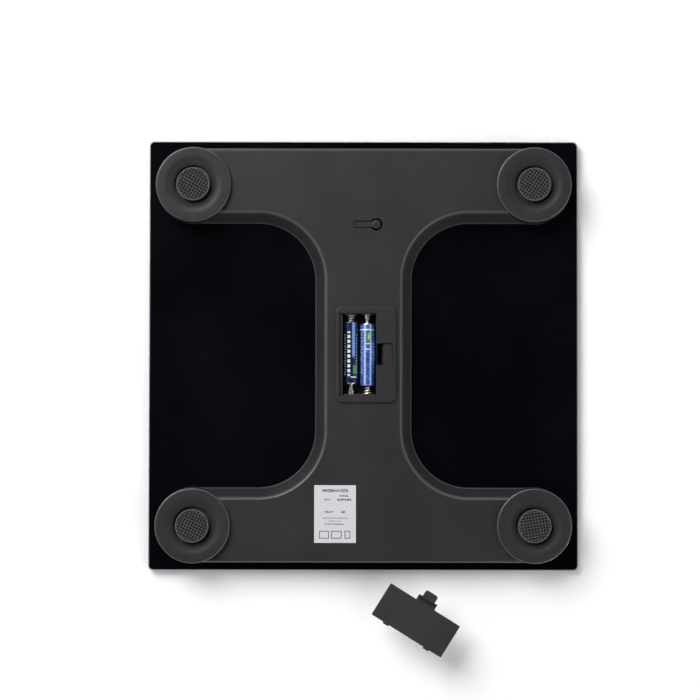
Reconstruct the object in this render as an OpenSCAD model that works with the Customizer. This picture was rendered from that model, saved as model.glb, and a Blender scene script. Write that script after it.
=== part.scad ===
// Digital bathroom scale, standing on its feet with the glass platform up.
// The origin is at floor level under the middle of the platform, +Z is up, and +Y points to the
// display end, away from the person on it. The battery cover is off and lies on the floor behind.

/* [Platform] */
// Side of the square glass platform
plate_w = 300; // [296:1:304]
// Thickness of the glass
plate_t = 6; // [5:0.5:6]
// Height of the glass underside above the floor
glass_z = 19; // [19:0.5:20]
// Corner radius of the glass
plate_corner_r = 3; // [2:0.5:6]
// Bevel along the polished glass edges
plate_bevel = 0.6; // [0.3:0.1:1]
// Display window, size across and along
window_size = [64, 27]; // [20:1:66]
// Middle of the display window, towards the front edge
window_y = 121; // [119:1:122]

/* [Base housing] */
// Height of the flat underside of the housing above the floor
flat_z = 6.6; // [6.4:0.1:6.8]
// Wall thickness of the moulding
wall = 2; // [1.8:0.1:2.2]
// Outer long edges of the front and rear bars, from the middle
bar_outer = 144; // [143.5:0.5:144.5]
// Inner edges of the bars at their rim under the glass
bar_root = 92.3; // [91:0.1:93]
// Half width of the column at its rim under the glass
col_root = 33.6; // [33:0.1:36]
// How far the side walls lean in from the rim to the flat
wall_run = 7.4; // [6:0.1:8]
// Corner radius of the side bays at the rim
bay_r = 40; // [36:1:42]
// Radius of the soft edge between the flat underside and its walls
edge_r = 2; // [1.6:0.1:2]

/* [Feet] */
// Distance of the foot centres from the middle, along both axes
foot_c = 118.5; // [118.5:0.5:119.5]
// Radius of the pod at its rim under the glass
pod_r = 26.6; // [26.5:0.1:27]
// Radius of the foot ring
ring_r = 26; // [25.9:0.1:26.2]
// Height of the foot ring face above the floor
ring_z = 2.6; // [2.4:0.1:2.8]
// Radius of the hole in the foot ring
ring_hole_r = 13; // [12.5:0.1:13.5]
// Radius of the rubber pad
pad_r = 11.65; // [11:0.05:12]
// Side of the square load cell plate
cell_w = 34; // [33:0.5:34]

/* [Battery bay] */
// Height of the raised boss face above the floor
boss_z = 5; // [4.9:0.1:5.1]
// Middle of the cover opening
bay_mid = [4.05, 0.55]; // [0:0.05:5]
// Cover opening across and along
bay_size = [25.5, 57.5]; // [25:0.1:58]
// Diameter of a battery with its sleeve
cell_d = 10.5; // [10.3:0.1:10.5]
// Length of a battery with its nub
cell_len = 44.5; // [44:0.1:44.5]

/* [Battery cover] */
// Where the middle of the loose cover lies on the floor
cover_at = [-36.3, -183.4]; // [-200:0.1:0]
// How far the loose cover is turned from its seat, in degrees
cover_turn = -58.1; // [-70:0.1:-50]
// Cover plate across, along and thick
cover_size = [25.3, 56.3, 1.8]; // [1.6:0.1:57]

/* [Unit key] */
// Middle of the key cap
key_at = [-8.8, 91]; // [-10:0.1:95]
// Radius of the key cap
key_r = 3.15; // [3:0.05:3.3]
// How far across the arm reaches from the middle line
key_root_x = 6.3; // [6:0.1:7]

/* [Hidden] */
$fn = 96;

// Glass stack: the print film and the tape fill the gap between the housing rim and the glass.
print_t = 0.1;
tape_t = 0.5;
print_z = glass_z - print_t;
rim_z = print_z - tape_t;
skin_z = flat_z + wall;

// Side bays: the wall leans the same way on the bars, on the column and in the corners.
bay_cx = col_root + bay_r;
bay_cy = bar_root - bay_r;
function run_at(z) = wall_run * (rim_z - z) / (rim_z - flat_z);
lean = atan(wall_run / (rim_z - flat_z));
// How far the column and the bars run into each other, and a hair that a cutter runs past its ends.
join = 3;
hair = 0.01;

// Soft edge in steps between the flat and a wall that turns up from it by an angle: each step is
// its height above the flat, and how far it lies inside the straight wall.
edge_steps = 3;
function soft_edge(r, turn) = r == 0 ? [[0, 0]] : [
    for (i = [0 : edge_steps]) let (a = turn * i / edge_steps, z = r * (1 - cos(a)))
        [z, r * tan(turn / 2) + z * cos(turn) / sin(turn) - r * sin(a)]];

// Feet: signs of the corners, named as the person on the scale sees them.
front_left = [-1, 1];
front_right = [1, 1];
rear_left = [-1, -1];
rear_right = [1, -1];
pod_z = ring_z + 2;
web_z = 11.1;
web_t = 2;
cell_z = 9;
cell_t = web_z - cell_z;
plunger_r = pad_r - 0.25;

// Battery bay: two cells side by side against the left wall, lying opposite ways.
bay_lo = bay_mid - bay_size / 2;
bay_hi = bay_mid + bay_size / 2;
ledge_w = 2.3;
ledge_z = boss_z + cover_size[2] + 0.1;
bay_top = 17.7;
box_roof = rim_z - bay_top;
bay_end = 0.5;
cell_gap = 0.3;
cell_axis_z = ledge_z + cell_gap + cell_d / 2;
right_cell_x = 8.8;
left_cell_x = -2.9;
cell_y0 = bay_mid[1] - cell_len / 2 + 0.4;
cell_y1 = cell_y0 + cell_len;
nub_len = 1;
contact_t = 0.4;
contact_gap = 0.15;
hook_pitch = 32.6;
hook_w = 4.5;
slot_w = 14.9;
slot_x0 = -14;
slot_top = bay_top - 1;
leg_room_z = 10.4;
catch_ledge_w = 1.05;
recess_x0 = -20.4;
recess_w = 15.8;
boss_x = [-22.7, 19.4];
boss_y = [-33, 34];
boss_corner_r = 4.5;
boss_edge_r = 0.7;
latch_gap = 0.2;
latch_out = 3.3;
tab_out = 9.3;

// Small mouldings: corner radius and softness of the cover's edges and of its finger tab.
cover_corner_r = 0.7;
tab_corner_r = 1.5;
small_edge_r = 0.3;

// Board stack under the display window.
board_z = 13.2;
board_t = 1.6;
board_x = 42;
board_y = [87, 141];
screw_at = [for (x = [-39.2, 39.2], y = [92, 137]) [x, y]];
lcd_z = board_z + board_t + 1.4;
lcd_t = 2.2;
lcd_size = [70, 33];

// Unit key: a cap on an arm that flexes at its root.
arm_w = 3.7;
key_z = flat_z + 0.2;
key_cap_t = 1.9;
key_edge_r = 0.5;
key_dimple_r = 0.55;
switch_z = 9.8;
post_z = 9;
plunger_stem_r = 1.7;

// Label under the rear bar.
label_at = [19.6, -110.4];
label_size = [29, 40];
label_z = flat_z + 0.3;
label_t = 0.15;

plastic = [0.2, 0.2, 0.21];
steel = [0.75, 0.76, 0.78];

// ---- Helpers ----

// A box between two corners.
module block(lo, hi) translate(lo) cube(hi - lo);

// An upright block with round corners.
module round_block(lo, hi, r) {
    block(lo + [r, 0, 0], hi - [r, 0, 0]);
    block(lo + [0, r, 0], hi - [0, r, 0]);
    for (x = [lo[0] + r, hi[0] - r], y = [lo[1] + r, hi[1] - r])
        translate([x, y, lo[2]]) cylinder(r = r, h = hi[2] - lo[2]);
}

// An upright block with round corners and its lower edges rounded by c.
module soft_block(lo, hi, r, c) {
    high = hi[2] - lo[2];
    steps = concat(soft_edge(c, 90), [[high, 0]]);
    translate([lo[0] + r, 0, lo[2]]) rotate([90, 0, 90]) linear_extrude(hi[0] - lo[0] - 2 * r)
        polygon(both_sides([for (e = steps) [lo[1] + e[1], e[0]]], (lo[1] + hi[1]) / 2));
    translate([0, hi[1] - r, lo[2]]) rotate([90, 0, 0]) linear_extrude(hi[1] - lo[1] - 2 * r)
        polygon(both_sides([for (e = steps) [lo[0] + e[1], e[0]]], (lo[0] + hi[0]) / 2));
    for (x = [lo[0] + r, hi[0] - r], y = [lo[1] + r, hi[1] - r])
        translate([x, y, lo[2]]) soft_disc(r, high, c);
}

// A disc with its lower edge rounded by c.
module soft_disc(r, high, c) rotate_extrude()
    polygon(concat([[0, 0]], [for (e = soft_edge(c, 90)) [r - e[1], e[0]]], [[r, high], [0, high]]));

// Children drawn at each foot centre.
module at_foot(corner) translate([corner[0] * foot_c, corner[1] * foot_c, 0]) children();

// Children copied into all four quarters.
module four_ways() for (sx = [0, 1], sy = [0, 1]) mirror([sx, 0, 0]) mirror([0, sy, 0]) children();

// Children seated in the battery bay, moved out to where the loose cover lies.
module loose_cover_place() translate([cover_at[0], cover_at[1], 0])
    rotate([0, 0, cover_turn]) children();

// A smooth curve through a list of points, with n steps between each two of them.
function curve(p, n) = [
    for (i = [0 : len(p) - 2], k = [0 : n - 1])
        let (a = p[max(i - 1, 0)], b = p[i], c = p[i + 1], d = p[min(i + 2, len(p) - 1)], t = k / n)
        0.5 * (2 * b + (c - a) * t + (2 * a - 5 * b + 4 * c - d) * t * t
            + (3 * b - a - 3 * c + d) * t * t * t),
    p[len(p) - 1]];
function unit(v) = v / norm(v);

// A round wire swept along points that never run straight up or down.
module wire(points, d, sides = 8) {
    last = len(points) - 1;
    rings = [for (i = [0 : last])
        let (along = unit(points[min(i + 1, last)] - points[max(i - 1, 0)]),
             side = unit(cross(along, [0, 0, 1])), up = cross(side, along))
        for (k = [0 : sides - 1]) let (a = 360 * k / sides)
            points[i] + d / 2 * (cos(a) * side + sin(a) * up)];
    walls = [for (i = [0 : last - 1], k = [0 : sides - 1])
        let (a = i * sides, b = a + sides, m = (k + 1) % sides) [a + k, a + m, b + m, b + k]];
    ends = [[for (k = [sides - 1 : -1 : 0]) k], [for (k = [0 : sides - 1]) last * sides + k]];
    polyhedron(rings, concat(walls, ends));
}

// ---- Glass platform ----

// The plate is a round-cornered slab with both edges bevelled.
module glass_platform() color([0.05, 0.06, 0.07, 0.6]) {
    half = plate_w / 2;
    levels = [[glass_z, plate_bevel], [glass_z + plate_bevel, 0],
              [glass_z + plate_t - plate_bevel, 0], [glass_z + plate_t, plate_bevel]];
    hull() for (level = levels)
        translate([0, 0, level[0] - (level[1] > 0 && level[0] > glass_z ? 0.01 : 0)])
            linear_extrude(0.01) offset(plate_corner_r - level[1], $fn = 32)
                square(2 * (half - plate_corner_r), center = true);
}

// Black print under the glass, with a clear window for the display.
module back_print() color([0.04, 0.04, 0.05]) difference() {
    edge = plate_w / 2 - plate_bevel;
    round_block([-edge, -edge, print_z], [edge, edge, glass_z], plate_corner_r);
    round_block([-window_size[0] / 2, window_y - window_size[1] / 2, print_z - 1],
                [window_size[0] / 2, window_y + window_size[1] / 2, glass_z + 1], 2);
}

// Tape strips between the housing rims and the print.
module adhesive_tape() color([0.12, 0.12, 0.12]) {
    for (s = [-1, 1]) {
        block([-90, s * (bar_outer - 1) - 0.7, rim_z], [90, s * (bar_outer - 1) + 0.7, print_z]);
        block([s * (col_root - 1) - 0.7, -50, rim_z], [s * (col_root - 1) + 0.7, 50, print_z]);
    }
    four_ways() translate([foot_c, foot_c, rim_z]) difference() {
        cylinder(r = pod_r - 0.5, h = tape_t);
        translate([0, 0, -1]) cylinder(r = pod_r - 2, h = tape_t + 2);
    }
}

// ---- Base housing ----

// A list of points from both ends: as given, then mirrored about x = middle in the other order.
function both_sides(p, middle) = concat(p, [
    for (i = [len(p) - 1 : -1 : 0]) [2 * middle - p[i][0], p[i][1]]]);

// The H outline as a solid from z0 to z1 with leaning walls, drawn in from them by inset, its
// lower edges rounded by r.
module h_solid(inset, z0, z1, bar_len, r = 0) {
    wall_points = concat(
        [for (e = soft_edge(r, 90 - lean)) [run_at(z0 + e[0]) + inset + e[1], z0 + e[0]]],
        [[run_at(z1) + inset, z1]]);
    outer_points = concat([for (e = soft_edge(r, 90)) [inset + e[1], z0 + e[0]]], [[inset, z1]]);
    last = len(wall_points) - 1;
    ends = [for (i = [0 : last]) i == 0 ? -hair : i == last ? hair : 0];
    rotate([90, 0, 0]) linear_extrude(2 * (bar_root + wall_run + join), center = true)
        polygon(both_sides([for (p = wall_points) [p[0] - col_root, p[1]]], 0));
    for (s = [0, 1]) mirror([0, s, 0])
        rotate([90, 0, 90]) linear_extrude(2 * bar_len, center = true) polygon(concat(
            [for (p = wall_points) [bar_root + p[0], p[1]]],
            [for (i = [len(outer_points) - 1 : -1 : 0])
                [bar_outer - outer_points[i][0], outer_points[i][1]]]));
    four_ways() difference() {
        block([col_root / 2, bay_cy, z0], [bay_cx, bar_root + wall_run + join, z1]);
        translate([bay_cx, bay_cy, 0]) rotate_extrude($fn = 128) polygon(concat([[0, z0 - hair]],
            [for (i = [0 : last]) [bay_r + wall_points[i][0], wall_points[i][1] + ends[i]]],
            [[0, z1 + hair]]));
    }
}

// The round pod that stands down from the glass at each corner.
module pod_solid() translate([0, 0, pod_z]) cylinder(r1 = ring_r + 0.2, r2 = pod_r, h = rim_z - pod_z);

// What is hollow in a pod: the load cell well below the web, and the room above it.
module pod_hollow() {
    translate([0, 0, pod_z - 1]) cylinder(r = 24.6, h = web_z - pod_z + 1);
    translate([0, 0, web_z - 1]) cylinder(r = 12, h = web_t + 2);
    translate([0, 0, web_z + web_t]) cylinder(r = 25.4, h = rim_z);
}

// Walls of the battery box and of the latch well beside it.
module battery_box() {
    block([bay_lo[0] - wall, bay_lo[1] - wall, skin_z - 1],
          [bay_hi[0] + wall, bay_hi[1] + wall, bay_top + box_roof]);
    block([slot_x0 - wall, bay_mid[1] - slot_w / 2 - wall, skin_z - 1],
          [bay_lo[0], bay_mid[1] + slot_w / 2 + wall, slot_top + box_roof]);
}

// What is cut from the battery box: cover seat, cell space, hook slots, latch slot and finger recess.
module battery_cuts() {
    block([bay_lo[0], bay_lo[1], boss_z - 1], [bay_hi[0], bay_hi[1], ledge_z]);
    difference() {
        block([bay_lo[0], bay_lo[1] + bay_end, ledge_z - 1],
              [bay_hi[0] - ledge_w, bay_hi[1] - bay_end, bay_top]);
        block([(left_cell_x + right_cell_x) / 2 - 0.4, cell_y0 + 4, bay_top - 3.4],
              [(left_cell_x + right_cell_x) / 2 + 0.4, cell_y1 - 4, bay_top + 1]);
    }
    for (s = [-1, 1]) {
        y = bay_mid[1] + s * hook_pitch / 2;
        block([bay_hi[0] - 1, y - hook_w / 2 - 0.4, boss_z + 0.8],
              [bay_hi[0] + 1.3, y + hook_w / 2 + 0.4, ledge_z]);
    }
    slot_y = bay_mid[1] - slot_w / 2;
    difference() {
        union() {
            block([slot_x0, slot_y, boss_z - 1], [bay_lo[0] + 1, slot_y + slot_w, leg_room_z]);
            block([slot_x0, slot_y, boss_z - 1], [bay_lo[0] - wall / 2, slot_y + slot_w, slot_top]);
        }
        block([slot_x0 - 1, slot_y, 7.4], [slot_x0 + catch_ledge_w, slot_y + slot_w, 8.2]);
    }
    translate([0, bay_mid[1] + recess_w / 2, 0]) rotate([90, 0, 0]) linear_extrude(recess_w) polygon([
        [recess_x0, boss_z - 1], [recess_x0, boss_z], [recess_x0 + 0.6, boss_z + 1.5],
        [slot_x0 + 1, boss_z + 1.9], [slot_x0 + 1, boss_z - 1]]);
}

// Slot around the unit key, wider than it all round.
module key_slot() {
    translate([key_at[0], key_at[1], boss_z]) cylinder(r = key_r + 1.25, h = 6);
    block([key_at[0], key_at[1] - arm_w / 2 - 0.55, boss_z],
          [key_root_x + 0.3, key_at[1] + arm_w / 2 + 0.55, 12]);
}

// A short row of plain raised bars under the key, where its use is marked.
module key_marks() for (i = [0 : 4], row = [0, 1])
    translate([-9.8 + 3.6 * i, 82 + 2.9 * row, flat_z]) block([0, 0, -0.25], [2.6, 1.6, 0.5]);

// Posts that carry the board, and low ribs that stiffen the bars and the column.
module posts_and_ribs() {
    for (p = screw_at) translate([p[0], p[1], skin_z - 1])
        cylinder(r = 2.8, h = board_z - skin_z + 1, $fn = 32);
    for (x = [-74, -50, 50, 74], s = [0, 1]) mirror([0, s, 0])
        block([x - 0.6, bar_root + 10, skin_z - 1], [x + 0.6, bar_outer - wall / 2, skin_z + 3]);
    for (y = [-80, -58, 62, 78]) block([-22, y - 0.6, skin_z - 1], [22, y + 0.6, skin_z + 3]);
}

module base_housing() color(plastic) difference() {
    union() {
        difference() {
            union() {
                h_solid(0, flat_z, rim_z, foot_c, edge_r);
                four_ways() translate([foot_c, foot_c, 0]) pod_solid();
                soft_block([boss_x[0], boss_y[0], boss_z], [boss_x[1], boss_y[1], flat_z + 1],
                           boss_corner_r, boss_edge_r);
            }
            h_solid(wall, skin_z, rim_z + 0.1, foot_c - pod_r - 0.5);
        }
        battery_box();
        posts_and_ribs();
        key_marks();
    }
    four_ways() translate([foot_c, foot_c, 0]) {
        pod_hollow();
        block([-pod_r - 2, -3, web_z + web_t], [-pod_r + 5, 3, rim_z + 1]);
    }
    battery_cuts();
    key_slot();
    for (p = screw_at) translate([p[0], p[1], board_z - 4]) cylinder(r = 1.1, h = 5, $fn = 24);
    block([label_at[0] - label_size[0] / 2 - 0.4, label_at[1] - label_size[1] / 2 - 0.4, flat_z - 1],
          [label_at[0] + label_size[0] / 2 + 0.4, label_at[1] + label_size[1] / 2 + 0.4, label_z]);
}

// ---- Feet ----

// Moulded ring that closes a pod from below and clamps the load cell against the web.
module foot_ring(corner) color(plastic) at_foot(corner) rotate_extrude() polygon([
    [ring_hole_r, ring_z + 1], [17.8, ring_z + 0.15], [18.4, ring_z], [ring_r - 0.5, ring_z],
    [ring_r - 0.1, ring_z + 0.3], [ring_r, ring_z + 0.8], [ring_r, pod_z], [24.4, pod_z],
    [24.4, cell_z], [22.4, cell_z], [22.4, pod_z + 0.4], [ring_hole_r, pod_z + 0.4]]);

// Steel plate with a C-shaped cut that leaves a tongue, its middle carried by the plunger.
module load_cell(corner) color(steel) at_foot(corner) translate([0, 0, cell_z]) difference() {
    half = cell_w / 2;
    round_block([-half, -half, 0], [half, half, cell_t], 4);
    for (s = [-1, 1]) block([s * 11 - 1, -12, -1], [s * 11 + 1, 12, cell_t + 1]);
    block([-11, -12, -1], [11, -10, cell_t + 1]);
    for (s = [-1, 1]) block([s * 6 - 0.8, -6, -1], [s * 6 + 0.8, 8, cell_t + 1]);
    for (sx = [-1, 1], sy = [-1, 1]) translate([sx * 13.6, sy * 13.6, -1])
        cylinder(r = 1.3, h = cell_t + 2, $fn = 24);
}

// A foil gauge on each tongue, in its soft sealing.
module strain_gauges() color([0.9, 0.9, 0.85])
    for (corner = [front_left, front_right, rear_left, rear_right])
        at_foot(corner) block([-3.5, 8.3, web_z], [3.5, 9.9, web_z + 0.6]);

// Plunger: the disc holds the pad, the flange is kept in by the ring, the tip presses the tongue.
module plunger(corner) color(plastic) at_foot(corner) {
    translate([0, 0, ring_z]) cylinder(r = plunger_r, h = pod_z + 0.7 - ring_z);
    translate([0, 0, pod_z + 0.7]) cylinder(r = ring_hole_r + 1.6, h = 1.6);
    translate([0, 0, pod_z + 2.3]) cylinder(r1 = 5, r2 = 2.6, h = cell_z - pod_z - 2.3);
}

// Rubber pad with a worked rim.
module pad(corner) color([0.08, 0.08, 0.08]) at_foot(corner) rotate_extrude() polygon([
    [0, 0], [pad_r - 0.8, 0], [pad_r - 0.2, 0.25], [pad_r, 0.8], [pad_r, ring_z], [0, ring_z]]);

// ---- Battery cover ----

// Plate, two hooks on one long side and the inner leg of the latch on the other.
module battery_cover() color(plastic) loose_cover_place() {
    hx = cover_size[0] / 2;
    hy = cover_size[1] / 2;
    soft_block([-hx, -hy, 0], [hx, hy, cover_size[2]], cover_corner_r, small_edge_r);
    for (s = [-1, 1]) translate([hx, s * hook_pitch / 2, 0])
        block([-1, -hook_w / 2, 0.95], [1, hook_w / 2, cover_size[2]]);
    block([-hx - 0.8, -7.3, 0.5], [-hx + 0.4, 7.3, 3.4 - latch_gap]);
}

// Sprung latch: a crown over the inner leg, the outer leg with its catch, and the finger tab.
module cover_latch() color(plastic) loose_cover_place() {
    hx = cover_size[0] / 2;
    leg = hx + latch_out;
    block([-leg - 0.8, -7.3, 3.4], [-hx, 7.3, 4.2]);
    block([-leg - 0.8, -7.3, 0.4], [-leg, 7.3, 3.5]);
    block([-leg - 1.3, -5, 3.4], [-leg - 0.7, 5, 4]);
    soft_block([-hx - tab_out, -4.8, 0], [-leg - 0.1, 4.8, 1.2], tab_corner_r, small_edge_r);
}

// ---- Batteries and contacts ----

// A cell along Y: can, shoulder and nub, with its nub towards +Y when flip is 0.
module cell_can(x, flip) color(steel)
    translate([x, (cell_y0 + cell_y1) / 2, cell_axis_z]) rotate([flip ? 90 : -90, 0, 0])
        translate([0, 0, -cell_len / 2]) rotate_extrude() polygon([
            [0, 0.15], [3.6, 0.15], [4, 0], [4.7, 0], [5.1, 0.3], [5.1, cell_len - nub_len - 0.9],
            [4.3, cell_len - nub_len], [1.9, cell_len - nub_len], [1.9, cell_len - 0.2],
            [1.7, cell_len], [0, cell_len]]);

// Printed sleeve that wraps the can and turns in over both ends.
module cell_sleeve(x, flip) color([0.1, 0.15, 0.45])
    translate([x, (cell_y0 + cell_y1) / 2, cell_axis_z]) rotate([flip ? 90 : -90, 0, 0])
        translate([0, 0, -cell_len / 2 + 0.4]) difference() {
            cylinder(d = cell_d, h = cell_len - nub_len - 1.3);
            translate([0, 0, -1]) cylinder(r = 5.1, h = cell_len);
        }

module battery_left() cell_can(left_cell_x, false);
module battery_right() cell_can(right_cell_x, true);
module battery_sleeve_left() cell_sleeve(left_cell_x, false);
module battery_sleeve_right() cell_sleeve(right_cell_x, true);

// Conical spring along +Z, wound from its wide end.
module coil(r0, r1, len, turns, wire_d) {
    n = turns * 16;
    wire([for (i = [0 : n]) let (t = i / n, a = 360 * turns * t, r = r0 + (r1 - r0) * t)
        [r * cos(a), r * sin(a), len * t]], wire_d);
}

// Stamped nub that meets a cell's positive end; it stands from y towards the cell on side s.
module contact_nub(x, y, s, reach) translate([x, y, cell_axis_z]) rotate([s > 0 ? 90 : -90, 0, 0]) {
    cylinder(r = 2.4, h = reach * 0.55, $fn = 48);
    cylinder(r = 1.6, h = reach, $fn = 48);
}

// Spring that meets a cell's negative end.
module contact_spring(x, y, s, reach) translate([x, y, cell_axis_z]) rotate([s > 0 ? 90 : -90, 0, 0])
    translate([0, 0, 0.2]) coil(3.6, 2.2, reach - 0.5, 3, 0.6);

front_plate_y = bay_hi[1] - bay_end - 0.1;
rear_plate_y = bay_lo[1] + bay_end + 0.1;
front_reach = front_plate_y - contact_t - cell_y1 - contact_gap;
rear_reach = cell_y0 - rear_plate_y - contact_t - contact_gap;

module positive_contact() color(steel) {
    block([left_cell_x - 4.6, front_plate_y - contact_t, cell_axis_z - 4.4],
          [left_cell_x + 4.6, front_plate_y, cell_axis_z + 4.4]);
    contact_nub(left_cell_x, front_plate_y - contact_t + 0.01, 1, front_reach);
}

module negative_contact() color(steel) {
    block([right_cell_x - 4.6, front_plate_y - contact_t, cell_axis_z - 4.4],
          [right_cell_x + 4.6, front_plate_y, cell_axis_z + 4.4]);
    contact_spring(right_cell_x, front_plate_y - contact_t, 1, front_reach);
}

module bridge_contact() color(steel) {
    block([left_cell_x - 4.6, rear_plate_y, cell_axis_z - 4.4],
          [right_cell_x + 4.6, rear_plate_y + contact_t, cell_axis_z + 4.4]);
    contact_nub(right_cell_x, rear_plate_y + contact_t - 0.01, -1, rear_reach);
    contact_spring(left_cell_x, rear_plate_y + contact_t, -1, rear_reach);
}

// ---- Electronics ----

module main_board() color([0.1, 0.35, 0.2]) difference() {
    block([-board_x, board_y[0], board_z], [board_x, board_y[1], board_z + board_t]);
    for (p = screw_at) translate([p[0], p[1], board_z - 1]) cylinder(r = 1.4, h = board_t + 2, $fn = 24);
}

// Four pan-head screws that hold the board on its posts.
module board_screws() color(steel) for (p = screw_at) translate([p[0], p[1], board_z + board_t]) {
    cylinder(r = 2.2, h = 1.1, $fn = 32);
    translate([0, 0, -4.6]) cylinder(r = 0.95, h = 4.7, $fn = 24);
}

// Moulded drop over the bonded chip, on the board's underside.
module chip_cover() color([0.05, 0.05, 0.05])
    translate([12, 116, board_z]) mirror([0, 0, 1]) cylinder(r1 = 8, r2 = 6, h = 1.6, $fn = 48);

// Crystal, capacitors and lead sockets on the board's underside.
module board_components() color([0.7, 0.6, 0.45]) {
    block([-22, 110, board_z - 2.4], [-12, 113.6, board_z]);
    for (i = [0 : 3]) block([-20 + 4 * i, 120, board_z - 1], [-18.4 + 4 * i, 122.5, board_z]);
    for (i = [0 : 2]) translate([1, 98 + 4 * i, board_z - 3.4]) cylinder(r = 1.6, h = 3.4, $fn = 32);
}

module display_panel() color([0.55, 0.62, 0.58])
    block([-lcd_size[0] / 2, window_y - lcd_size[1] / 2, lcd_z],
          [lcd_size[0] / 2, window_y + lcd_size[1] / 2, lcd_z + lcd_t]);

// Frame that holds the panel against the print and carries the elastomer strips.
module display_frame() color([0.15, 0.15, 0.16]) difference() {
    rim = 1.2;
    block([-lcd_size[0] / 2 - rim, window_y - lcd_size[1] / 2 - rim, board_z + board_t],
          [lcd_size[0] / 2 + rim, window_y + lcd_size[1] / 2 + rim, lcd_z + lcd_t]);
    block([-lcd_size[0] / 2 - 0.05, window_y - lcd_size[1] / 2 - 0.05, board_z],
          [lcd_size[0] / 2 + 0.05, window_y + lcd_size[1] / 2 + 0.05, lcd_z + lcd_t + 1]);
}

module elastomer_strips() color([0.8, 0.5, 0.55]) for (s = [-1, 1])
    block([-28, window_y + s * 13 - 1, board_z + board_t], [28, window_y + s * 13 + 1, lcd_z]);

module switch_body() color([0.2, 0.2, 0.2]) difference() {
    block([key_at[0] - 3, key_at[1] - 3, switch_z], [key_at[0] + 3, key_at[1] + 3, board_z]);
    translate([key_at[0], key_at[1], switch_z - 1])
        cylinder(r = plunger_stem_r + 0.15, h = 2.4, $fn = 48);
}

// Plunger of the switch: it rests on the key's post and slides in the switch body.
module switch_plunger() color([0.5, 0.1, 0.1])
    translate([key_at[0], key_at[1], post_z + 0.05]) cylinder(r = plunger_stem_r, h = 1.4, $fn = 48);

// Key: a dimpled cap with a post behind it, on an arm that reaches to its root.
module unit_key() color(plastic) {
    translate([key_at[0], key_at[1], key_z - 0.3]) difference() {
        soft_disc(key_r, key_cap_t, key_edge_r);
        translate([0, 0, -1]) cylinder(r = key_dimple_r, h = 1.4, $fn = 32);
    }
    translate([key_at[0], key_at[1], key_z]) cylinder(r = 1.5, h = post_z - key_z, $fn = 32);
    block([key_at[0], key_at[1] - arm_w / 2, key_z + 0.1],
          [key_root_x, key_at[1] + arm_w / 2, key_z + 1.4]);
}

module rating_label() color([0.92, 0.92, 0.92])
    block([label_at[0] - label_size[0] / 2, label_at[1] - label_size[1] / 2, label_z - label_t],
          [label_at[0] + label_size[0] / 2, label_at[1] + label_size[1] / 2, label_z]);

// ---- Wiring ----

// Lead from a load cell along its bar and the column to the board.
module cell_lead(corner) color([0.75, 0.75, 0.75]) {
    x = corner[0];
    y = corner[1];
    high = 15.6;
    low = 12.6;
    start = [[x * (foot_c - 14), y * (foot_c - 2), web_z + web_t + 1.1],
             [x * (foot_c - 24), y * foot_c, high], [x * 84, y * foot_c, high]];
    front = [[x * 52, 106, low], [x * 31, 104, 11.6], [x * 26, 105, board_z - 1]];
    rear = [[x * 48, 24 - foot_c, low], [x * 25, -78, low], [x * 24.4, 0, low], [x * 22.5, 70, low],
            [x * 20, 92, 12.2], [x * 19.5, 99, board_z - 1]];
    wire(curve(concat(start, y > 0 ? front : rear), 5), 1.8);
}

// Leads from the front contacts to the board.
module battery_lead_red() color([0.7, 0.1, 0.1])
    wire(curve([[left_cell_x, bay_hi[1] + wall + 0.8, 15], [left_cell_x - 4, 40, 12.6], [-4, 84, 12.4],
        [-3, 92, board_z - 0.7]], 5), 1.2);

module battery_lead_black() color([0.1, 0.1, 0.1])
    wire(curve([[right_cell_x, bay_hi[1] + wall + 0.8, 15], [right_cell_x + 4, 40, 12.6], [9, 84, 12.4],
        [9, 92, board_z - 0.7]], 5), 1.2);

glass_platform();
back_print();
adhesive_tape();
base_housing();
foot_ring(front_left);  // foot_ring_front_left
foot_ring(front_right);  // foot_ring_front_right
foot_ring(rear_left);  // foot_ring_rear_left
foot_ring(rear_right);  // foot_ring_rear_right
load_cell(front_left);  // load_cell_front_left
load_cell(front_right);  // load_cell_front_right
load_cell(rear_left);  // load_cell_rear_left
load_cell(rear_right);  // load_cell_rear_right
strain_gauges();
plunger(front_left);  // plunger_front_left
plunger(front_right);  // plunger_front_right
plunger(rear_left);  // plunger_rear_left
plunger(rear_right);  // plunger_rear_right
pad(front_left);  // pad_front_left
pad(front_right);  // pad_front_right
pad(rear_left);  // pad_rear_left
pad(rear_right);  // pad_rear_right
battery_cover();
cover_latch();
battery_left();
battery_right();
battery_sleeve_left();
battery_sleeve_right();
bridge_contact();
positive_contact();
negative_contact();
main_board();
board_screws();
chip_cover();
board_components();
display_panel();
display_frame();
elastomer_strips();
switch_body();
switch_plunger();
unit_key();
rating_label();
cell_lead(front_left);  // lead_front_left
cell_lead(front_right);  // lead_front_right
cell_lead(rear_left);  // lead_rear_left
cell_lead(rear_right);  // lead_rear_right
battery_lead_red();
battery_lead_black();
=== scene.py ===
"""Digital bathroom scale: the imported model's nodes, dressed and finished in Blender.

The scale stands on its feet with its glass platform up. The camera looks up at it from below, and
a one-sided backdrop just above the glass is the pale surface on which the scale lies in that view.
"""
import logging
import math
from dataclasses import dataclass, field
from enum import Enum
from typing import Iterable, Sequence

import bmesh
import bpy
import numpy as np
from mathutils import Matrix, Vector


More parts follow.
